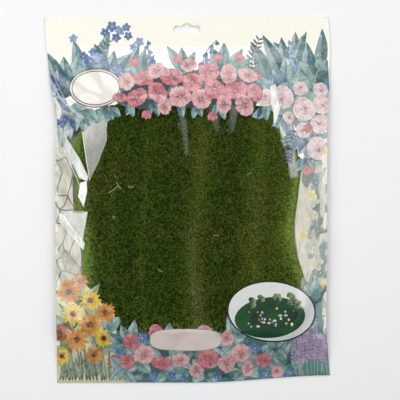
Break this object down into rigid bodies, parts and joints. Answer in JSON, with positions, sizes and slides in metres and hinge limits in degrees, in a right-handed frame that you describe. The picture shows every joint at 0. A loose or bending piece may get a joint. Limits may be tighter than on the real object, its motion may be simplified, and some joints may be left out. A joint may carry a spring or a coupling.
{
  "type": "bagged landscape moss mat",
  "caption": "Flat retail header bag of printed clear film around a soft folded mat of green landscape moss, with a hang slot in its header.",
  "frame": {"origin": "middle of the pack's footprint, on the surface that it lies on", "axes": "+Y towards the header, +Z out of the printed face, +X to the reader's right"},
  "size_m": [0.3334, 0.426, 0.023],
  "materials": {
    "printed_film": "thin clear film, gloss, crumpled, with a printed floral border and an opaque cream header",
    "back_film": "thin film printed all over in opaque cream, gloss",
    "moss_pile": "short static pile, dark green with olive and lime fibres"
  },
  "bodies": {
    "root": {"bag_front": "printed_film", "bag_back": "back_film", "moss_mat": "moss_pile"}
  },
  "joints": []
}
